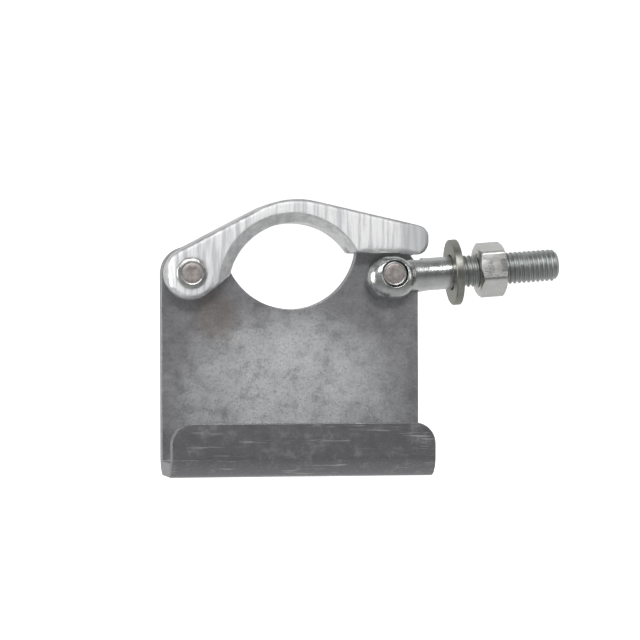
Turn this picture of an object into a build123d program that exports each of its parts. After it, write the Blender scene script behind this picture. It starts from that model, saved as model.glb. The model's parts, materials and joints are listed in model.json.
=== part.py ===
from build123d import *
from math import acos, atan2, cos, degrees, hypot, radians, sin, tan
import os

# A board-retaining coupler for 48.3 mm scaffold tube, resting on its shelf with the flap down and the
# swing bolt almost level. The origin is on the tube's axis, halfway through the plate. X runs from the
# flap's hinge to the bolt, Y along the tube to the back, and Z up. Sizes are in millimetres.

# Gaps: beside a plate held in a fork, round a pin that turns, and between faces that rest on each other
side_gap = 0.3
pin_gap = 0.05
rest_gap = 0.05

# Plate: pressed from sheet, its lower edge bent forward into a shelf and up into a lip
bore_radius = 24.5
plate_width = 94
plate_thickness = 5
pivot_x = 37.1
pivot_z = -11.8
plate_corner = 9.9
shelf_bottom_z = -84
lip_front_y = -32.5
lip_top_z = -65
bend_radius = 7.5
lip_corner = 7.5

# Rivets
rivet_radius = 4
rivet_head_radius = 5.6
rivet_set_radius = 4.5
rivet_face_radius = 3.7
rivet_head_height = 1.4
rivet_rim = 0.5

# Flap: drawn as it closes round a tube, in a plane whose origin is its hinge, then dropped
flap_drop = 26.7
flap_width = 23
flap_edge = 1.8
hinge_radius = 9.5
hinge_corner = 6
crown_center = (36.5, 13.53)
crown_radius = 31.2
nose_radius = 5.5
nose_center = (67.96, 47.83)
bore_first_angle = 61
bore_last_angle = 194
hinge_last_angle = 343
fork_reach = 17
mouth_radius = 27
mouth_shift = 2.2
mouth_depth = 5
bolt_slot_width = 14
bolt_slot_length = 19
eye_relief_radius = 8.9
eye_relief_width = 17.8

# Swing bolt: drawn along its own axis, in a plane whose origin is its pivot
bolt_tilt = 4.2
bolt_full_swing = 101
eye_radius = 8
eye_tail = 2.1
eye_sag = 0.5
eye_width = 22
eye_edge = 5.3
eye_drop = 1
neck_radius = 7.2
neck_length = 14
recess_radius = 4.85
recess_depth = 3
slot_reach = 10.75
shank_radius = 6
thread_radius = 5.95
thread_start = 25.5
bolt_length = 62.4
bolt_end_chamfer = 1.1

# Washer and nut, each placed by its distance along the bolt from the pivot
washer_start = 22.4
washer_radius = 12
washer_hole_radius = 6.5
washer_thickness = 2.8
washer_edge = 0.3
nut_start = 32.2
nut_across_flats = 18
nut_height = 10
nut_hole_radius = 6.02
nut_face_radius = 8.6
nut_chamfer_angle = 30
nut_turn = 8


def tangent_angle(first_center, first_radius, last_center, last_radius):
    """Direction, in degrees, from each centre to the upper line that touches both circles."""
    run = last_center[0] - first_center[0]
    rise = last_center[1] - first_center[1]
    lean = acos((first_radius - last_radius) / hypot(run, rise))
    return degrees(atan2(rise, run) + lean)


def upright_plane(x, z, tilt):
    """Plane across the tube's axis, seen from the front, its X axis turned up by tilt degrees."""
    along = (cos(radians(tilt)), 0, sin(radians(tilt)))
    return Plane(origin=(x, 0, z), x_dir=along, z_dir=(0, -1, 0))


fork_half_gap = plate_thickness / 2 + side_gap

# Body plate
with BuildPart() as body_plate:
    lip_back_y = lip_front_y + plate_thickness
    plate_top_z = pivot_z + plate_corner
    with BuildSketch(Plane.YZ):
        with BuildLine():
            Polyline(
                (plate_thickness / 2, plate_top_z),
                (plate_thickness / 2, shelf_bottom_z),
                (lip_front_y, shelf_bottom_z),
                (lip_front_y, lip_top_z),
                (lip_back_y, lip_top_z),
                (lip_back_y, shelf_bottom_z + plate_thickness),
                (-plate_thickness / 2, shelf_bottom_z + plate_thickness),
                (-plate_thickness / 2, plate_top_z),
                close=True,
            )
        section = make_face()
        fillet(section.vertices().group_by(Axis.Y)[0], bend_radius)
        fillet(section.vertices().filter_by_position(
            Axis.Y, shelf_bottom_z + plate_thickness, shelf_bottom_z + plate_thickness
        ), bend_radius - plate_thickness)
    extrude(amount=plate_width / 2, both=True)
    crosswise = body_plate.edges().filter_by(Axis.Y)
    fillet(crosswise.group_by(Axis.Z)[-1], plate_corner)
    fillet(crosswise.group_by(Axis.Z)[-2], lip_corner)
    with BuildSketch(Plane.XZ):
        Circle(bore_radius)
        with Locations((-pivot_x, pivot_z), (pivot_x, pivot_z)):
            Circle(rivet_radius)
    extrude(amount=plate_thickness, both=True, mode=Mode.SUBTRACT)

# Flap
hinge_plane = upright_plane(-pivot_x, pivot_z, -flap_drop)
bore_center = (pivot_x, -pivot_z)
left_tangent = tangent_angle((0, 0), hinge_radius, crown_center, crown_radius)
right_tangent = tangent_angle(crown_center, crown_radius, nose_center, nose_radius)
nose_first_angle = flap_drop - 90

# Plane of the seat that the washer bears on, with its origin at the nose and X towards the nose's tip
seat_up = radians(right_tangent - flap_drop)
seat_plane = Plane(
    origin=hinge_plane.from_local_coords(Vector(*nose_center)),
    x_dir=(sin(seat_up), 0, -cos(seat_up)),
    z_dir=(cos(seat_up), 0, sin(seat_up)),
)
nose_plan_x = nose_radius - (flap_width**2 - bolt_slot_width**2) ** 0.5 / 2
slot_floor_x = nose_radius - bolt_slot_length + bolt_slot_width / 2

with BuildPart() as flap:
    with BuildSketch(hinge_plane):
        with BuildLine():
            hinge_arc = CenterArc((0, 0), hinge_radius, left_tangent, hinge_last_angle - left_tangent)
            crown_arc = CenterArc(crown_center, crown_radius, right_tangent, left_tangent - right_tangent)
            nose_arc = CenterArc(
                nose_center, nose_radius, nose_first_angle, right_tangent - nose_first_angle
            )
            bore_arc = CenterArc(
                bore_center, bore_radius, bore_first_angle, bore_last_angle - bore_first_angle
            )
            Line(hinge_arc @ 0, crown_arc @ 1)
            Line(crown_arc @ 0, nose_arc @ 1)
            Line(nose_arc @ 0, bore_arc @ 0)
            Line(bore_arc @ 1, hinge_arc @ 1)
        make_face()
    extrude(amount=flap_width / 2, both=True)
    with BuildSketch(seat_plane):
        with Locations((nose_plan_x, 0)):
            Circle(flap_width / 2)
            Rectangle(plate_width + flap_width, flap_width, align=(Align.MAX, Align.CENTER))
    extrude(amount=2 * crown_radius, both=True, mode=Mode.INTERSECT)
    with BuildSketch(Plane((-pivot_x - hinge_radius, 0))) as hinge_end:
        Rectangle(2 * plate_width, flap_width, align=(Align.MIN, Align.CENTER))
        fillet(hinge_end.vertices().group_by(Axis.X)[0], hinge_corner)
    extrude(amount=2 * crown_radius, both=True, mode=Mode.INTERSECT)
    fillet(flap.faces().filter_by(Axis.Y).edges(), flap_edge)
    with BuildSketch(hinge_plane):
        Circle(fork_reach)
    extrude(amount=fork_half_gap, both=True, mode=Mode.SUBTRACT)
    with BuildSketch(Plane.XZ):
        with Locations((pivot_x, plate_top_z + rest_gap)):
            Rectangle(bore_radius + plate_corner, bore_radius, align=(Align.CENTER, Align.MAX))
    extrude(amount=fork_half_gap, both=True, mode=Mode.SUBTRACT)
    with BuildSketch(seat_plane):
        with Locations((slot_floor_x, 0)):
            Circle(bolt_slot_width / 2)
            Rectangle(bolt_slot_length, bolt_slot_width, align=(Align.MIN, Align.CENTER))
    extrude(amount=crown_radius, both=True, mode=Mode.SUBTRACT)
    with BuildSketch(Plane.XZ):
        with Locations((pivot_x, pivot_z)):
            Circle(eye_relief_radius)
    extrude(amount=eye_relief_width / 2, both=True, mode=Mode.SUBTRACT)
    for side in (-1, 1):
        with BuildSketch(hinge_plane.offset(side * flap_width / 2)):
            with Locations((bore_center[0] - mouth_shift, bore_center[1])):
                Circle(mouth_radius)
        with BuildSketch(hinge_plane.offset(side * (flap_width / 2 - mouth_depth))):
            with Locations(bore_center):
                Circle(bore_radius)
        loft(mode=Mode.SUBTRACT)
    with BuildSketch(hinge_plane):
        Circle(rivet_radius + pin_gap)
    extrude(amount=flap_width, both=True, mode=Mode.SUBTRACT)

# Swing bolt: a domed eye, slotted over the plate, that tapers into the shank. The slot's lower flat meets
# the plate's end when the bolt lies down, and its upper flat meets the plate's top at full swing.
pivot_plane = upright_plane(pivot_x, pivot_z, bolt_tilt)
full_swing_plane = upright_plane(pivot_x, pivot_z, 90 - bolt_full_swing)
bolt_plane = Plane(
    origin=pivot_plane.from_local_coords(Vector(0, -eye_drop)), x_dir=(0, 1, 0), z_dir=pivot_plane.x_dir
)
bolt_axis = Axis(bolt_plane.origin, bolt_plane.z_dir)
slot_flat_width = 2 * (plate_corner + rest_gap)

with BuildPart() as swing_bolt:
    with BuildSketch(pivot_plane):
        with Locations((-eye_tail / 2, -eye_drop - eye_sag)):
            SlotCenterToCenter(eye_tail, 2 * eye_radius)
    extrude(amount=eye_width / 2, both=True)
    fillet(swing_bolt.faces().filter_by(Axis.Y).edges(), eye_edge)
    with BuildSketch(bolt_plane):
        Circle(neck_radius)
    with BuildSketch(bolt_plane.offset(neck_length)):
        Circle(shank_radius)
    loft()
    with BuildSketch(bolt_plane):
        Circle(shank_radius)
    extrude(amount=thread_start)
    with BuildSketch(bolt_plane.offset(thread_start)):
        Circle(thread_radius)
    extrude(amount=bolt_length - thread_start)
    chamfer(swing_bolt.edges().sort_by(bolt_axis)[-1], bolt_end_chamfer)
    with BuildSketch(Plane.XZ):
        with Locations((pivot_x, pivot_z)):
            Circle(slot_reach)
            Rectangle(slot_flat_width, 2 * eye_radius, align=(Align.CENTER, Align.MAX))
    extrude(amount=fork_half_gap, both=True, mode=Mode.SUBTRACT)
    with BuildSketch(full_swing_plane):
        Rectangle(slot_flat_width, 2 * eye_radius, align=(Align.CENTER, Align.MIN))
    extrude(amount=fork_half_gap, both=True, mode=Mode.SUBTRACT)
    with BuildSketch(pivot_plane):
        Circle(rivet_radius + pin_gap)
    extrude(amount=eye_width, both=True, mode=Mode.SUBTRACT)
    for side in (-1, 1):
        with BuildSketch(pivot_plane.offset(side * (eye_width / 2 - recess_depth))):
            Circle(recess_radius)
        extrude(amount=side * 2 * recess_depth, mode=Mode.SUBTRACT)


def rivet(x, under_head, head_radius):
    """A rivet through the plate at x, its two heads starting under_head from the plate's middle."""
    with BuildPart() as pin:
        with BuildSketch(Plane((x, 0, pivot_z))):
            with BuildLine():
                Polyline(
                    (0, 0),
                    (rivet_radius, 0),
                    (rivet_radius, under_head),
                    (head_radius, under_head),
                    (head_radius, under_head + rivet_rim),
                    (rivet_face_radius, under_head + rivet_head_height),
                    (0, under_head + rivet_head_height),
                    close=True,
                )
            make_face()
        revolve(axis=Axis((x, 0, pivot_z), (0, 1, 0)))
        mirror(about=Plane.XZ)
    return pin


flap_rivet = rivet(-pivot_x, flap_width / 2 + rest_gap, rivet_head_radius)
bolt_rivet = rivet(pivot_x, eye_width / 2 - recess_depth + rest_gap, rivet_set_radius)

# Flat washer
with BuildPart() as flat_washer:
    with BuildSketch(bolt_plane.offset(washer_start)):
        Circle(washer_radius)
        Circle(washer_hole_radius, mode=Mode.SUBTRACT)
    extrude(amount=washer_thickness)
    fillet(flat_washer.edges(), washer_edge)

# Hexagon nut, its corners cut back by a cone at each face
nut_corner_radius = nut_across_flats / 3**0.5
nut_chamfer_height = (nut_corner_radius - nut_face_radius) * tan(radians(nut_chamfer_angle))

with BuildPart() as hex_nut:
    with BuildSketch(bolt_plane.offset(nut_start)):
        RegularPolygon(nut_across_flats / 2, 6, major_radius=False, rotation=30 - nut_turn)
    extrude(amount=nut_height)
    with BuildSketch(pivot_plane.shift_origin(bolt_plane.origin)):
        with BuildLine():
            Polyline(
                (nut_start, nut_hole_radius),
                (nut_start, nut_face_radius),
                (nut_start + nut_chamfer_height, nut_corner_radius),
                (nut_start + nut_height - nut_chamfer_height, nut_corner_radius),
                (nut_start + nut_height, nut_face_radius),
                (nut_start + nut_height, nut_hole_radius),
                close=True,
            )
        make_face()
    revolve(axis=bolt_axis, mode=Mode.INTERSECT)

pieces = {
    "body_plate": body_plate,
    "flap": flap,
    "flap_rivet": flap_rivet,
    "swing_bolt": swing_bolt,
    "bolt_rivet": bolt_rivet,
    "flat_washer": flat_washer,
    "hex_nut": hex_nut,
}
os.makedirs("parts", exist_ok=True)
for name, piece in pieces.items():
    piece.part.label = name
    export_step(piece.part, f"parts/{name}.step")
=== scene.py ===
"""Looks of a board-retaining scaffold coupler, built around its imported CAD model.

The row frame is metres, +Z up, with its origin on the tube's axis halfway through the plate. X runs
from the flap's hinge to the swing bolt, and -Y is the front. Every piece of steel is rebuilt from its
CAD node or from its CAD box: the forgings are remeshed, softened and given die and file marks, the
sheet and the fasteners get worked edges, and the bolt gets a real thread.
"""

import json
import math

import bmesh
import bpy
import numpy as np
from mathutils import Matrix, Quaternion, Vector, noise


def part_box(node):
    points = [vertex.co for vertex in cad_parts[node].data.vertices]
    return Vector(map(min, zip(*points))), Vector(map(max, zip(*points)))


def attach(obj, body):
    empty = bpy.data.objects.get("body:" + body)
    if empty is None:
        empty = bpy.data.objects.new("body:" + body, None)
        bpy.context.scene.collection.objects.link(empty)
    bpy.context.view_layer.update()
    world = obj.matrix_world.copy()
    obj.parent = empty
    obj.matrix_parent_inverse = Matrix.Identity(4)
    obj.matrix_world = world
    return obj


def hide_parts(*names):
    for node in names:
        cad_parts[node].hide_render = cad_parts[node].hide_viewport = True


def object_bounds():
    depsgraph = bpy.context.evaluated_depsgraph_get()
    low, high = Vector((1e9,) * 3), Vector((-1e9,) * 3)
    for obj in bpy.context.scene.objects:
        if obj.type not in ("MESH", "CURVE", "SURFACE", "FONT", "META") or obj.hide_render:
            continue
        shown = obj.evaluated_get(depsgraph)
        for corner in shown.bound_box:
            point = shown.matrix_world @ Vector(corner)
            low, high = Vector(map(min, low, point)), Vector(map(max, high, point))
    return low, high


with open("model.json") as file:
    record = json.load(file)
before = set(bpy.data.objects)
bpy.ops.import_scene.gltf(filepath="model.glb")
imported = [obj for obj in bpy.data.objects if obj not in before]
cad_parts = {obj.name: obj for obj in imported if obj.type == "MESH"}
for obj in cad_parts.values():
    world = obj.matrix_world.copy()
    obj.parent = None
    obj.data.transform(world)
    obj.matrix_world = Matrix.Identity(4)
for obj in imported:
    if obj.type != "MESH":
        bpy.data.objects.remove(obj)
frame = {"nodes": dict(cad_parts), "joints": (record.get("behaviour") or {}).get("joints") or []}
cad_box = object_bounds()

MM = 0.001

# ---------------------------------------------------------------- places taken from the CAD frame
JOINTS = {joint["name"]: joint for joint in frame["joints"]}
FLAP_PIVOT = Vector(JOINTS["flap_hinge"]["pos_m"])
BOLT_PIVOT = Vector(JOINTS["bolt_swing"]["pos_m"])
BOLT_AXIS = Vector(JOINTS["nut_travel"]["axis"]).normalized()
BOLT_UP = Vector((-BOLT_AXIS.z, 0, BOLT_AXIS.x))
FRONT = Vector((0, -1, 0))
EYE_DROP = 1.0 * MM
BOLT_ORIGIN = BOLT_PIVOT - BOLT_UP * EYE_DROP


def along_bolt(node):
    """First and last distance of a CAD node along the bolt's axis, from the foot of its pivot."""
    places = [(vertex.co - BOLT_ORIGIN).dot(BOLT_AXIS) for vertex in frame["nodes"][node].data.vertices]
    return min(places), max(places)


# ---------------------------------------------------------------- mesh helpers
def new_object(name, mesh):
    made = bpy.data.objects.new(name, mesh)
    bpy.context.scene.collection.objects.link(made)
    return made


def cad_copy(name, node):
    """A free object with a welded copy of a CAD node's mesh."""
    mesh = frame["nodes"][node].data.copy()
    mesh.name = name
    mesh.materials.clear()
    work = bmesh.new()
    work.from_mesh(mesh)
    bmesh.ops.remove_doubles(work, verts=work.verts, dist=0.002 * MM)
    work.to_mesh(mesh)
    work.free()
    for layer_name in [layer.name for layer in mesh.uv_layers]:
        mesh.uv_layers.remove(mesh.uv_layers[layer_name])
    return new_object(name, mesh)


def apply_modifiers(piece):
    """Replaces the piece's mesh with the one that its modifiers make."""
    graph = bpy.context.evaluated_depsgraph_get()
    mesh = bpy.data.meshes.new_from_object(piece.evaluated_get(graph))
    piece.modifiers.clear()
    piece.data = mesh


def remesh(piece, voxel, smooth_rounds):
    """Turns the piece into even small quads and softens its edges as a forging's are."""
    voxels = piece.modifiers.new("voxels", "REMESH")
    voxels.mode = "VOXEL"
    voxels.voxel_size = voxel
    voxels.use_smooth_shade = True
    soften = piece.modifiers.new("soften", "SMOOTH")
    soften.factor = 0.5
    soften.iterations = smooth_rounds
    apply_modifiers(piece)


def displace(piece, depth_at):
    """Sinks each vertex along its normal by depth_at(place, normal), in metres."""
    mesh = piece.data
    count = len(mesh.vertices)
    places = np.zeros(count * 3, np.float32)
    normals = np.zeros(count * 3, np.float32)
    mesh.vertices.foreach_get("co", places)
    mesh.vertices.foreach_get("normal", normals)
    places = places.reshape(-1, 3)
    normals = normals.reshape(-1, 3)
    depths = np.array([depth_at(Vector(p), n) for p, n in zip(places, normals)], np.float32)
    mesh.vertices.foreach_set("co", (places - normals * depths[:, None]).ravel())
    mesh.update()


def soft_noise(place, size):
    """Smooth noise from 0 to 1 whose features are about size across."""
    return 0.5 + 0.5 * noise.noise(place / size)


def smooth_normals(piece, sharp_degrees):
    """Smooth shading, with hard edges above the given angle and flats that stay flat."""
    mesh = piece.data
    mesh.shade_smooth()
    mesh.set_sharp_from_angle(angle=math.radians(sharp_degrees))
    weighted = piece.modifiers.new("flat_faces", "WEIGHTED_NORMAL")
    weighted.keep_sharp = True
    apply_modifiers(piece)


def grid_mesh(name, rings, closed_ends):
    """A mesh skinned over closed rings of points, one list of points for each ring."""
    count = len(rings[0])
    points = [point for ring in rings for point in ring]
    faces = []
    for row in range(len(rings) - 1):
        for column in range(count):
            following = (column + 1) % count
            faces.append((
                row * count + column,
                row * count + following,
                (row + 1) * count + following,
                (row + 1) * count + column,
            ))
    if closed_ends:
        for row, backwards in ((0, True), (len(rings) - 1, False)):
            centre = len(points)
            ring = rings[row]
            points.append(sum(ring, Vector()) / count)
            for column in range(count):
                pair = [row * count + column, row * count + (column + 1) % count]
                faces.append((*(reversed(pair) if backwards else pair), centre))
    else:
        last = (len(rings) - 1) * count
        for column in range(count):
            following = (column + 1) % count
            faces.append((last + column, last + following, following, column))
    mesh = bpy.data.meshes.new(name)
    mesh.from_pydata([tuple(point) for point in points], [], faces)
    work = bmesh.new()
    work.from_mesh(mesh)
    bmesh.ops.remove_doubles(work, verts=work.verts, dist=0.0005 * MM)
    bmesh.ops.recalc_face_normals(work, faces=work.faces)
    work.to_mesh(mesh)
    work.free()
    mesh.shade_smooth()
    return mesh


def bolt_point(distance, radius, angle):
    """A point round the bolt's axis; angle 0 is up and a quarter turn is the front."""
    return (
        BOLT_ORIGIN
        + BOLT_AXIS * distance
        + BOLT_UP * (radius * math.cos(angle))
        + FRONT * (radius * math.sin(angle))
    )


def turns(count):
    return [2 * math.pi * step / count for step in range(count)]


# ---------------------------------------------------------------- material helpers
class Shader:
    """Builds one node material, a Principled surface with procedural detail in object space."""

    def __init__(self, name):
        self.material = bpy.data.materials.new(name)
        self.material.use_nodes = True
        self.tree = self.material.node_tree
        self.surface = self.tree.nodes["Principled BSDF"]
        self.place = self.tree.nodes.new("ShaderNodeTexCoord").outputs["Object"]

    def set(self, **values):
        for key, value in values.items():
            self.surface.inputs[key.replace("_", " ")].default_value = value

    def link(self, output, socket):
        self.tree.links.new(output, socket)

    def noise(self, size, detail=3.0, roughness=0.55, stretch=(1, 1, 1), turn=0.0):
        """Noise whose features are about size across, longer along the axes with a small stretch."""
        mapping = self.tree.nodes.new("ShaderNodeMapping")
        mapping.inputs["Scale"].default_value = stretch
        mapping.inputs["Rotation"].default_value = (0, turn, 0)
        self.link(self.place, mapping.inputs["Vector"])
        made = self.tree.nodes.new("ShaderNodeTexNoise")
        made.inputs["Scale"].default_value = 1 / size
        made.inputs["Detail"].default_value = detail
        made.inputs["Roughness"].default_value = roughness
        self.link(mapping.outputs["Vector"], made.inputs["Vector"])
        return made.outputs["Fac"]

    def band(self, value, low, high, out_low=0.0, out_high=1.0):
        """Maps low to high of a value onto out_low to out_high, smoothly and held at the ends."""
        made = self.tree.nodes.new("ShaderNodeMapRange")
        made.interpolation_type = "SMOOTHSTEP"
        made.inputs["From Min"].default_value = low
        made.inputs["From Max"].default_value = high
        made.inputs["To Min"].default_value = out_low
        made.inputs["To Max"].default_value = out_high
        self.link(value, made.inputs["Value"])
        return made.outputs["Result"]

    def math(self, operation, first, second):
        made = self.tree.nodes.new("ShaderNodeMath")
        made.operation = operation
        for socket, value in zip(made.inputs, (first, second)):
            if isinstance(value, (int, float)):
                socket.default_value = value
            else:
                self.link(value, socket)
        return made.outputs["Value"]

    def mix(self, factor, first, second):
        """Colour from first to second by factor; each is a colour or a socket."""
        made = self.tree.nodes.new("ShaderNodeMix")
        made.data_type = "RGBA"
        self.link(factor, made.inputs["Factor"])
        for socket, value in ((made.inputs[6], first), (made.inputs[7], second)):
            if isinstance(value, tuple):
                socket.default_value = (*value, 1)
            else:
                self.link(value, socket)
        return made.outputs[2]

    def bump(self, height, distance, under=None):
        made = self.tree.nodes.new("ShaderNodeBump")
        made.inputs["Distance"].default_value = distance
        self.link(height, made.inputs["Height"])
        if under is not None:
            self.link(under, made.inputs["Normal"])
        return made.outputs["Normal"]

    def along(self, axis):
        """The place along an axis of the object at rest, in metres."""
        split = self.tree.nodes.new("ShaderNodeSeparateXYZ")
        self.link(self.place, split.inputs["Vector"])
        return split.outputs[axis]

    def spot(self, centre, size, ragged):
        """1 inside a spot round an x and z place and 0 outside it, its edge broken up by a value."""
        across = self.math("DIVIDE", self.math("SUBTRACT", self.along("X"), centre[0]), size)
        above = self.math("DIVIDE", self.math("SUBTRACT", self.along("Z"), centre[1]), size)
        away = self.math("ADD", self.math("MULTIPLY", across, across), self.math("MULTIPLY", above, above))
        return self.band(self.math("ADD", away, ragged), 1.5, 0.6)

    def normal_along(self, axis):
        """How far the surface faces along an axis of the object at rest, from 0 to 1."""
        coordinates = self.place.node.outputs["Normal"]
        split = self.tree.nodes.new("ShaderNodeSeparateXYZ")
        self.link(coordinates, split.inputs["Vector"])
        return self.math("ABSOLUTE", split.outputs[axis], 0)


# Painted pool of light on the sheet: where its pale middle sits and how far it spreads.
LIGHT_POOL_MIDDLE_Z = -58 * MM
LIGHT_POOL_HALF_WIDTH = 44 * MM
LIGHT_POOL_HALF_HEIGHT = 36 * MM
# Painted shade on the lip: the depth where it starts and where it is full; the lip's scratches keep to the
# same band.
LIP_SHADE_AND_SCRATCH_STARTS_Y = -24 * MM
LIP_SHADE_AND_SCRATCH_FULL_Y = -29 * MM
STAIN_PLACE = (-27 * MM, -27 * MM)
STAIN_SIZE = 11 * MM


def plate_material():
    """Zinc on pressed sheet: fine speckle on satin grey, a painted pool of light that pales the lower
    middle, and painted shade that darkens the lip.
    """
    shader = Shader("plate_zinc")
    cloud = shader.noise(15 * MM, 4, 0.6)
    patch = shader.noise(5 * MM, 5, 0.7)
    speckle = shader.noise(0.7 * MM, 4, 0.75)
    rolling = shader.noise(1.4 * MM, 3, 0.6, stretch=(0.12, 1, 1))
    # Painted pool of light: pale round the lower middle, turning darker grey towards the edges, mottled by
    # the cloud noise.
    across = shader.math("DIVIDE", shader.along("X"), LIGHT_POOL_HALF_WIDTH)
    above = shader.math("SUBTRACT", shader.along("Z"), LIGHT_POOL_MIDDLE_Z)
    above = shader.math("DIVIDE", above, LIGHT_POOL_HALF_HEIGHT)
    away = shader.math("ADD", shader.math("MULTIPLY", across, across), shader.math("MULTIPLY", above, above))
    away = shader.math("ADD", away, shader.math("MULTIPLY", cloud, 0.7))
    # Painted shade on the lip, darkest towards its front; the same mask confines the lip's scratches.
    lip = shader.band(shader.along("Y"), LIP_SHADE_AND_SCRATCH_STARTS_Y, LIP_SHADE_AND_SCRATCH_FULL_Y)
    colour = shader.mix(shader.band(away, 0.3, 1.6), (0.92, 0.93, 0.93), (0.34, 0.34, 0.35))
    colour = shader.mix(lip, colour, (0.23, 0.23, 0.24))
    colour = shader.mix(shader.band(patch, 0.5, 0.72, 0, 0.3), colour, (0.56, 0.56, 0.55))
    colour = shader.mix(shader.band(patch, 0.48, 0.28, 0, 0.35), colour, (0.22, 0.22, 0.23))
    colour = shader.mix(shader.band(speckle, 0.45, 0.72, 0.0, 0.6), colour, (0.18, 0.18, 0.19))
    colour = shader.mix(shader.band(speckle, 0.42, 0.22, 0.0, 0.5), colour, (0.78, 0.78, 0.78))
    rust = shader.spot(STAIN_PLACE, STAIN_SIZE, patch)
    colour = shader.mix(shader.math("MULTIPLY", rust, 0.4), colour, (0.24, 0.19, 0.15))
    scratch = shader.noise(1.1 * MM, 3, 0.7, stretch=(0.05, 1, 1), turn=math.radians(24))
    scratched = shader.math("MULTIPLY", shader.band(scratch, 0.60, 0.68), lip)
    colour = shader.mix(shader.math("MULTIPLY", scratched, 0.6), colour, (0.62, 0.62, 0.62))
    shader.link(colour, shader.surface.inputs["Base Color"])
    rough = shader.math(
        "ADD", shader.band(patch, 0.3, 0.75, 0.36, 0.5), shader.band(speckle, 0.3, 0.8, 0, 0.1)
    )
    shader.link(rough, shader.surface.inputs["Roughness"])
    normal = shader.bump(rolling, 0.02 * MM)
    normal = shader.bump(speckle, 0.03 * MM, normal)
    normal = shader.bump(patch, 0.12 * MM, normal)
    shader.link(normal, shader.surface.inputs["Normal"])
    shader.set(Metallic=0.9)
    return shader.material


def forging_material():
    """Zinc on a forging: pale, with upright file and die marks on its flat faces, and painted shade that
    greys the nose.
    """
    shader = Shader("forged_zinc")
    streak = shader.noise(1.5 * MM, 3, 0.6, stretch=(1, 0.3, 0.07), turn=math.radians(4))
    fine = shader.noise(0.5 * MM, 2, 0.6, stretch=(1, 0.4, 0.12), turn=math.radians(-6))
    scale = shader.noise(3.2 * MM, 5, 0.7)
    grain = shader.noise(0.5 * MM, 3, 0.7)
    flat = shader.band(shader.normal_along("Y"), 0.75, 0.95)
    filed = shader.math("MULTIPLY", shader.band(streak, 0.42, 0.64), flat)
    colour = shader.mix(shader.band(scale, 0.3, 0.7), (0.52, 0.53, 0.54), (0.80, 0.80, 0.79))
    colour = shader.mix(flat, colour, (0.74, 0.74, 0.74))
    colour = shader.mix(shader.math("MULTIPLY", filed, 0.6), colour, (0.34, 0.35, 0.37))
    colour = shader.mix(shader.band(grain, 0.45, 0.75, 0, 0.25), colour, (0.36, 0.36, 0.36))
    # Painted shade on the nose, where the forging rounds away: its colour turns grey towards the tip.
    nose = shader.band(shader.along("X"), 36 * MM, 42 * MM)
    colour = shader.mix(shader.math("MULTIPLY", nose, 0.6), colour, (0.40, 0.41, 0.42))
    shader.link(colour, shader.surface.inputs["Base Color"])
    rough = shader.math("ADD", shader.band(scale, 0.3, 0.7, 0.3, 0.42), shader.math("MULTIPLY", flat, 0.16))
    shader.link(rough, shader.surface.inputs["Roughness"])
    normal = shader.bump(scale, 0.16 * MM)
    normal = shader.bump(grain, 0.03 * MM, normal)
    normal = shader.bump(shader.math("MULTIPLY", streak, flat), 0.16 * MM, normal)
    normal = shader.bump(shader.math("MULTIPLY", fine, flat), 0.05 * MM, normal)
    shader.link(normal, shader.surface.inputs["Normal"])
    shader.link(shader.band(flat, 0, 1, 0.8, 0.35), shader.surface.inputs["Metallic"])
    return shader.material


def plated_material(name, pale, dark, tint, rough, cloud_size=5 * MM):
    """Bright zinc plating on a fastener, with faint clouds, a tint in places and fine handling marks."""
    shader = Shader(name)
    cloud = shader.noise(cloud_size, 4, 0.6)
    grain = shader.noise(0.35 * MM, 3, 0.6)
    stain = shader.noise(2.6 * MM, 5, 0.7)
    colour = shader.mix(shader.band(cloud, 0.3, 0.7), dark, pale)
    colour = shader.mix(shader.band(stain, 0.52, 0.72, 0, 0.6), colour, tint)
    shader.link(colour, shader.surface.inputs["Base Color"])
    roughness = shader.math(
        "ADD", shader.band(cloud, 0.3, 0.7, rough, rough + 0.1), shader.band(grain, 0.4, 0.8, 0, 0.08)
    )
    shader.link(roughness, shader.surface.inputs["Roughness"])
    normal = shader.bump(grain, 0.012 * MM)
    normal = shader.bump(stain, 0.05 * MM, normal)
    shader.link(normal, shader.surface.inputs["Normal"])
    shader.set(Metallic=1.0)
    return shader.material


def bare_steel_material():
    """The hammered end of a rivet: dull, slightly brownish grey steel with pits."""
    shader = Shader("rivet_bare_steel")
    blot = shader.noise(1.6 * MM, 4, 0.65)
    pit = shader.noise(0.4 * MM, 3, 0.7)
    colour = shader.mix(shader.band(blot, 0.35, 0.65), (0.34, 0.31, 0.29), (0.50, 0.46, 0.44))
    colour = shader.mix(shader.band(pit, 0.5, 0.75, 0, 0.5), colour, (0.16, 0.13, 0.12))
    shader.link(colour, shader.surface.inputs["Base Color"])
    shader.link(shader.band(blot, 0.3, 0.7, 0.42, 0.6), shader.surface.inputs["Roughness"])
    normal = shader.bump(blot, 0.1 * MM)
    shader.link(shader.bump(pit, 0.04 * MM, normal), shader.surface.inputs["Normal"])
    shader.set(Metallic=0.85)
    return shader.material


def finish_piece(piece, body, slot, *materials, replaces=None):
    for material in materials:
        piece.data.materials.append(material)
    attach(piece, body)
    if replaces:
        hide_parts(replaces)


# ---------------------------------------------------------------- body plate
SHEARED_EDGE = 0.35 * MM


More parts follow.
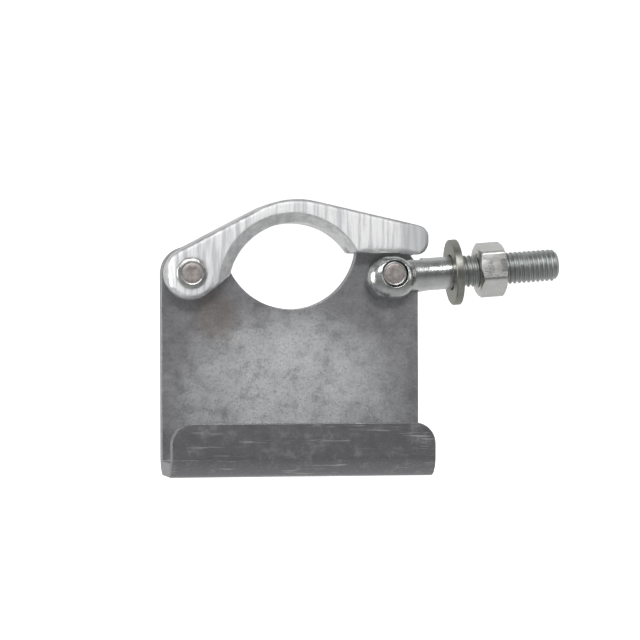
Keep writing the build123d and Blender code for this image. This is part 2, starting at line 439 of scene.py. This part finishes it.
def build_plate():
    """The CAD sheet with its flat faces made whole and its sheared edges rounded."""
    plate = cad_copy("body_plate_sheet", "body_plate")
    work = bmesh.new()
    work.from_mesh(plate.data)
    bmesh.ops.dissolve_limit(work, angle_limit=math.radians(0.5), verts=work.verts, edges=work.edges)
    sharp = [e for e in work.edges if len(e.link_faces) == 2 and e.calc_face_angle() > math.radians(40)]
    bmesh.ops.bevel(
        work, geom=sharp, offset=SHEARED_EDGE, segments=3, profile=0.5, affect="EDGES", clamp_overlap=True
    )
    work.to_mesh(plate.data)
    work.free()
    smooth_normals(plate, 35)
    finish_piece(plate, "plate", "plate_zinc", plate_material(), replaces="body_plate")


# ---------------------------------------------------------------- flap
def rolled(depth, radius):
    """How far a face draws in, at a depth from the edge, where the edge is rounded by a radius."""
    if depth >= radius:
        return 0.0
    return radius - math.sqrt(radius * radius - (radius - max(0.0, depth)) ** 2)


NOSE_UNDERSIDE = -5.1 * MM
NOSE_TIP_ROLL = 5.6 * MM
NOSE_TIP_STRETCH = 2.6
LOWER_EDGE_ROLL = 4.6 * MM
LOWER_EDGE_FROM = 18 * MM
LOWER_EDGE_BLEND = 8 * MM
HINGE_RADIUS = 9.5 * MM
HINGE_EDGE_ROLL = 3.2 * MM


def narrow_flap(flap):
    """Rounds the forging's lower edges and draws its nose in, staying inside the CAD solid."""
    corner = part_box("flap")[1]
    half_width = corner.y
    nose_tip = corner.x
    for vertex in flap.data.vertices:
        place = vertex.co
        draw = rolled((nose_tip - place.x) / NOSE_TIP_STRETCH, NOSE_TIP_ROLL)
        if place.x > LOWER_EDGE_FROM:
            blend = min(1.0, (place.x - LOWER_EDGE_FROM) / LOWER_EDGE_BLEND)
            draw = max(draw, rolled(place.z - NOSE_UNDERSIDE, LOWER_EDGE_ROLL) * blend)
        if place.x < FLAP_PIVOT.x + 8 * MM and place.z < FLAP_PIVOT.z:
            reach = math.hypot(place.x - FLAP_PIVOT.x, place.z - FLAP_PIVOT.z)
            draw = max(draw, rolled(HINGE_RADIUS - reach, HINGE_EDGE_ROLL))
        limit = half_width - draw
        if abs(place.y) > limit:
            place.y = math.copysign(limit, place.y)


def build_flap():
    """The forged flap: soft edges, slightly uneven skin and upright file marks on its flat faces."""
    flap = cad_copy("flap_forging", "flap")
    remesh(flap, 0.4 * MM, 1)
    narrow_flap(flap)
    remesh(flap, 0.36 * MM, 5)

    def depth(place, normal):
        uneven = 0.10 * MM * soft_noise(place, 7 * MM) + 0.05 * MM * soft_noise(place, 2.2 * MM)
        if abs(normal[1]) < 0.8:
            return uneven
        ridged = Vector((place.x + 0.07 * place.z, 0, 0.06 * place.z))
        marks = max(0.0, soft_noise(ridged, 1.1 * MM) - 0.45)
        return uneven + 0.22 * MM * marks

    displace(flap, depth)
    finish_piece(flap, "flap", "forged_zinc", forging_material(), replaces="flap")


# ---------------------------------------------------------------- swing bolt
THREAD_PITCH = 1.75 * MM
THREAD_DEPTH = 0.8 * MM
THREAD_CREST = 5.85 * MM


def build_bolt(material):
    """The forged eye and shank, cut off where the thread starts."""
    bolt = cad_copy("swing_bolt_forging", "swing_bolt")
    thread_start = along_bolt("flat_washer")[1]
    work = bmesh.new()
    work.from_mesh(bolt.data)
    bmesh.ops.bisect_plane(
        work,
        geom=[*work.verts, *work.edges, *work.faces],
        plane_co=BOLT_ORIGIN + BOLT_AXIS * thread_start,
        plane_no=BOLT_AXIS,
        clear_outer=True,
    )
    rim = [edge for edge in work.edges if edge.is_boundary]
    bmesh.ops.holes_fill(work, edges=rim)
    work.to_mesh(bolt.data)
    work.free()
    remesh(bolt, 0.3 * MM, 6)
    displace(bolt, lambda place, normal: 0.06 * MM * soft_noise(place, 4 * MM))
    finish_piece(bolt, "bolt", "bolt_zinc", material, replaces="swing_bolt")
    return thread_start


def thread_radius(distance, angle, first, last):
    """Radius of a rolled thread at a place along and round the bolt, run out at both ends."""
    phase = (distance / THREAD_PITCH - angle / (2 * math.pi)) % 1
    height = min(1.0, max(0.0, 1.22 * abs(2 * phase - 1) - 0.11))
    height = height * height * (3 - 2 * height)
    groove = THREAD_DEPTH * (1 - height)
    point = max(0.0, distance - (last - 1.5 * MM))
    run_in = min(1.0, max(0.0, (distance - first) / THREAD_PITCH))
    return min(THREAD_CREST - groove * run_in, THREAD_CREST - 0.9 * point)


def build_thread(material, first):
    last = along_bolt("swing_bolt")[1]
    rows = round((last - first) / (THREAD_PITCH / 18))
    rings = []
    for row in range(rows + 1):
        distance = first + (last - first) * row / rows
        rings.append([
            bolt_point(distance, thread_radius(distance, angle, first, last), angle) for angle in turns(96)
        ])
    centre_mark = 0.25 * MM
    inner = THREAD_CREST - 2.6 * MM
    rings.append([bolt_point(last - 0.02 * MM, inner + 0.4 * MM, angle) for angle in turns(96)])
    rings.append([bolt_point(last - centre_mark, inner * 0.35, angle) for angle in turns(96)])
    thread = new_object("swing_bolt_thread", grid_mesh("swing_bolt_thread", rings, True))
    finish_piece(thread, "bolt", "bolt_zinc", material)


# ---------------------------------------------------------------- washer, nut and rivets
def build_washer(material):
    """A stamped washer, rolled over at its front edge and square with a small burr at its back."""
    first, last = along_bolt("flat_washer")
    hole, rim = 6.5 * MM, 12 * MM
    roll, burr = 0.55 * MM, 0.15 * MM
    quarter = [math.pi / 2 * step / 6 for step in range(7)]
    profile = [(first + roll * (1 - math.sin(a)), hole + roll * (1 - math.cos(a))) for a in quarter]
    profile += [(first, hole + (rim - hole) * share) for share in (0.25, 0.5, 0.75)]
    profile += [(first + roll * (1 - math.cos(a)), rim - roll * (1 - math.sin(a))) for a in quarter]
    profile += [(last - burr * (1 - math.sin(a)), rim - burr * (1 - math.cos(a))) for a in quarter]
    profile += [(last, hole + (rim - hole) * share) for share in (0.75, 0.5, 0.25)]
    profile += [(last - burr * (1 - math.cos(a)), hole + burr * (1 - math.sin(a))) for a in quarter]
    rings = [[bolt_point(place, radius, angle) for angle in turns(144)] for place, radius in profile]
    washer = new_object("flat_washer_ring", grid_mesh("flat_washer_ring", rings, False))
    finish_piece(washer, "washer", "washer_zinc", material, replaces="flat_washer")


def build_nut(material):
    """A hexagon nut: coned corners at both faces, softened edges and a countersunk bore."""
    first, last = along_bolt("hex_nut")
    flat_radius = 9 * MM
    face_radius = 8.6 * MM
    bore = 6.02 * MM
    countersink = 0.7 * MM
    cone = math.tan(math.radians(30))
    turned = math.radians(22)
    corner_soft = 0.35 * MM

    def side(angle):
        """Distance from the axis to the hexagon's side, with its corners slightly rounded."""
        swing = (angle - turned + math.pi / 6) % (math.pi / 3) - math.pi / 6
        reach = flat_radius / math.cos(swing)
        corner = flat_radius / math.cos(math.pi / 6) - corner_soft
        return min(reach, corner + 0.35 * max(0.0, reach - corner))

    angles = turns(360)

    def ring(place_at, radius_at):
        return [bolt_point(place_at(angle), radius_at(angle), angle) for angle in angles]

    def chamfer(angle):
        return (side(angle) - face_radius) * cone

    rings = [
        ring(lambda a: first + countersink, lambda a: bore),
        ring(lambda a: first + 0.05 * MM, lambda a: bore + countersink - 0.05 * MM),
        ring(lambda a: first, lambda a: bore + countersink + 0.1 * MM),
        ring(lambda a: first, lambda a: face_radius - 0.12 * MM),
        ring(lambda a: first + 0.03 * MM, lambda a: face_radius + 0.02 * MM),
    ]
    for share in (0.25, 0.5, 0.75, 0.92):
        rings.append(ring(
            lambda a, s=share: first + 0.03 * MM + chamfer(a) * s,
            lambda a, s=share: face_radius + (side(a) - face_radius) * s,
        ))
    rings.append(ring(lambda a: first + chamfer(a) + 0.12 * MM, side))
    for share in (0.35, 0.65):
        rings.append(ring(lambda a, s=share: first + (last - first) * s, side))
    rings.append(ring(lambda a: last - chamfer(a) - 0.12 * MM, side))
    for share in (0.92, 0.75, 0.5, 0.25):
        rings.append(ring(
            lambda a, s=share: last - 0.03 * MM - chamfer(a) * s,
            lambda a, s=share: face_radius + (side(a) - face_radius) * s,
        ))
    rings += [
        ring(lambda a: last - 0.03 * MM, lambda a: face_radius + 0.02 * MM),
        ring(lambda a: last, lambda a: face_radius - 0.12 * MM),
        ring(lambda a: last, lambda a: bore + countersink + 0.1 * MM),
        ring(lambda a: last - 0.05 * MM, lambda a: bore + countersink - 0.05 * MM),
        ring(lambda a: last - countersink, lambda a: bore),
    ]
    nut = new_object("hex_nut_body", grid_mesh("hex_nut_body", rings, False))
    nut.data.set_sharp_from_angle(angle=math.radians(24))
    finish_piece(nut, "nut", "nut_zinc", material, replaces="hex_nut")


def build_rivet(node, pivot, zinc, bare):
    """A rivet whose two ends are hammered over: a plated ring round a bare, pitted face."""
    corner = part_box(node)[1]
    reach = corner.y
    rim_radius = corner.x - pivot.x
    face_radius = 3.7 * MM
    pin_radius = 3.98 * MM
    head_height = 1.4 * MM
    under = reach - head_height
    rim = 0.5 * MM
    half = [(0.0, pin_radius), (under - 0.3 * MM, pin_radius), (under, pin_radius + 0.05 * MM)]
    half += [(under, rim_radius - 0.1 * MM), (under + 0.08 * MM, rim_radius), (under + rim, rim_radius)]
    steps = 8
    for step in range(1, steps + 1):
        turn = math.pi / 2 * step / steps
        half.append((
            under + rim + (head_height - rim - 0.14 * MM) * math.sin(turn),
            face_radius + 0.25 * MM + (rim_radius - face_radius - 0.25 * MM) * math.cos(turn),
        ))
    half += [(reach - 0.3 * MM, face_radius + 0.08 * MM), (reach - 0.26 * MM, face_radius - 0.1 * MM)]
    half += [(reach - 0.1 * MM, face_radius - 0.4 * MM), (reach - 0.02 * MM, face_radius * 0.75)]
    half += [(reach - 0.02 * MM, face_radius * 0.5), (reach - 0.05 * MM, face_radius * 0.25)]
    whole = [(-place, radius) for place, radius in reversed(half)] + half[1:]
    rings = []
    for place, radius in whole:
        rings.append([
            Vector((pivot.x + radius * math.sin(a), place, pivot.z + radius * math.cos(a)))
            for a in turns(96)
        ])
    rivet = new_object(node + "_set", grid_mesh(node + "_set", rings, True))

    def depth(place, normal):
        radius = math.hypot(place.x - pivot.x, place.z - pivot.z)
        if abs(place.y) < under + 0.2 * MM or radius > rim_radius - 0.05 * MM:
            return 0.0
        return 0.12 * MM * soft_noise(place, 1.3 * MM)

    displace(rivet, depth)
    finish_piece(rivet, "plate", "rivet_steel", zinc, bare, replaces=node)
    for face in rivet.data.polygons:
        radius = math.hypot(face.center.x - pivot.x, face.center.z - pivot.z)
        face.material_index = int(radius < face_radius and abs(face.center.y) > under)


# ---------------------------------------------------------------- stage, lights and camera
def build_stage():
    """A pale floor that curves up into a backdrop."""
    floor_z = cad_box[0].z
    width, near, far, bend, height = 6.0, -2.4, 2.2, 0.8, 2.6
    section = [(near, 0.0), (far - bend, 0.0)]
    section += [
        (far - bend + bend * math.sin(a), bend - bend * math.cos(a))
        for a in [math.pi / 2 * step / 24 for step in range(1, 25)]
    ]
    section.append((far, height))
    mesh = bpy.data.meshes.new("backdrop")
    points = [(side * width / 2, y, floor_z + z) for y, z in section for side in (-1, 1)]
    faces = [(2 * i, 2 * i + 1, 2 * i + 3, 2 * i + 2) for i in range(len(section) - 1)]
    mesh.from_pydata(points, [], faces)
    mesh.shade_smooth()
    backdrop = new_object("backdrop", mesh)
    shader = Shader("backdrop_paper")
    shader.set(Base_Color=(0.92, 0.92, 0.92, 1), Roughness=0.9, Emission_Color=(1, 1, 1, 1))
    shader.set(Emission_Strength=0.75)
    mesh.materials.append(shader.material)
    backdrop.visible_glossy = False


def area_light(name, place, target, width, height, power, colour=(1, 1, 1)):
    data = bpy.data.lights.new(name, "AREA")
    data.shape = "RECTANGLE"
    data.size, data.size_y = width, height
    data.energy = power
    data.color = colour
    light = bpy.data.objects.new(name, data)
    light.location = place
    light.rotation_euler = (Vector(target) - Vector(place)).to_track_quat("-Z", "Y").to_euler()
    bpy.context.scene.collection.objects.link(light)


def build_lights():
    area_light("key", (-0.1, -0.83, 0.6), (0, 0, -0.02), 0.8, 0.26, 5.5)
    area_light("left_box", (-1.0, -0.3, 0.1), (0, 0, -0.02), 0.5, 0.7, 5)
    area_light("right_box", (0.95, -0.35, 0.3), (0, 0, -0.02), 0.4, 0.7, 1.5)


def build_world():
    """Soft studio surroundings: dark at the front's horizon, brighter above, below and behind."""
    world = bpy.data.worlds.new("studio")
    world.use_nodes = True
    tree = world.node_tree
    direction = tree.nodes.new("ShaderNodeTexCoord")
    split = tree.nodes.new("ShaderNodeSeparateXYZ")
    tree.links.new(direction.outputs["Generated"], split.inputs["Vector"])
    height = tree.nodes.new("ShaderNodeMapRange")
    height.inputs["From Min"].default_value = -1
    tree.links.new(split.outputs["Z"], height.inputs["Value"])
    ramp = tree.nodes.new("ShaderNodeValToRGB")
    tree.links.new(height.outputs["Result"], ramp.inputs["Fac"])
    stops = ramp.color_ramp.elements
    stops[0].color = (0.6, 0.6, 0.6, 1)
    stops[1].color = (0.3, 0.3, 0.31, 1)
    for position, value in ((0.25, 0.40), (0.40, 0.17), (0.52, 0.15), (0.66, 0.20), (0.88, 0.13)):
        stop = stops.new(position)
        stop.color = (value, value, value * 1.03, 1)
    behind = tree.nodes.new("ShaderNodeMapRange")
    behind.interpolation_type = "SMOOTHSTEP"
    behind.inputs["From Min"].default_value = -0.1
    behind.inputs["From Max"].default_value = 0.5
    tree.links.new(split.outputs["Y"], behind.inputs["Value"])
    blend = tree.nodes.new("ShaderNodeMix")
    blend.data_type = "RGBA"
    blend.inputs[7].default_value = (0.7, 0.7, 0.7, 1)
    tree.links.new(behind.outputs["Result"], blend.inputs["Factor"])
    tree.links.new(ramp.outputs["Color"], blend.inputs[6])
    tree.links.new(blend.outputs[2], tree.nodes["Background"].inputs["Color"])
    bpy.context.scene.world = world


def build_camera():
    """Looks from 9.9 degrees to the left of the front, almost level, at the middle of the object."""
    target = Vector((11.17 * MM, 0, -28.46 * MM))
    azimuth, elevation, roll = math.radians(9.909), math.radians(-0.5), math.radians(-0.175)
    distance = 1.05
    back = Vector((
        -math.sin(azimuth) * math.cos(elevation),
        -math.cos(azimuth) * math.cos(elevation),
        math.sin(elevation),
    ))
    data = bpy.data.cameras.new("camera")
    data.sensor_width = 36
    data.lens = 162.76
    data.clip_start = 0.05
    camera = bpy.data.objects.new("camera", data)
    camera.location = target + back * distance
    camera.rotation_mode = "QUATERNION"
    level = (-back).to_track_quat("-Z", "Y")
    camera.rotation_quaternion = level @ Quaternion((0, 0, 1), roll)
    bpy.context.scene.collection.objects.link(camera)
    bpy.context.scene.camera = camera


bolt_zinc = plated_material("bolt_zinc", (0.70, 0.71, 0.70), (0.52, 0.54, 0.53), (0.48, 0.48, 0.41), 0.2)
thread_zinc = plated_material(
    "thread_zinc", (0.56, 0.58, 0.57), (0.42, 0.44, 0.43), (0.40, 0.40, 0.36), 0.36
)
washer_zinc = plated_material(
    "washer_zinc", (0.40, 0.40, 0.36), (0.28, 0.28, 0.25), (0.27, 0.25, 0.18), 0.34
)
nut_zinc = plated_material("nut_zinc", (0.74, 0.74, 0.72), (0.62, 0.62, 0.60), (0.56, 0.55, 0.50), 0.24)
rivet_zinc = plated_material("rivet_zinc", (0.70, 0.70, 0.69), (0.50, 0.50, 0.49), (0.46, 0.42, 0.38), 0.3)
bare_steel = bare_steel_material()

build_plate()
build_flap()
thread_first = build_bolt(bolt_zinc)
build_thread(thread_zinc, thread_first)
build_washer(washer_zinc)
build_nut(nut_zinc)
build_rivet("flap_rivet", FLAP_PIVOT, rivet_zinc, bare_steel)
build_rivet("bolt_rivet", BOLT_PIVOT, rivet_zinc, bare_steel)
build_stage()
build_lights()
build_world()
build_camera()
bpy.context.scene.view_settings.view_transform = "Standard"

bpy.context.view_layer.update()
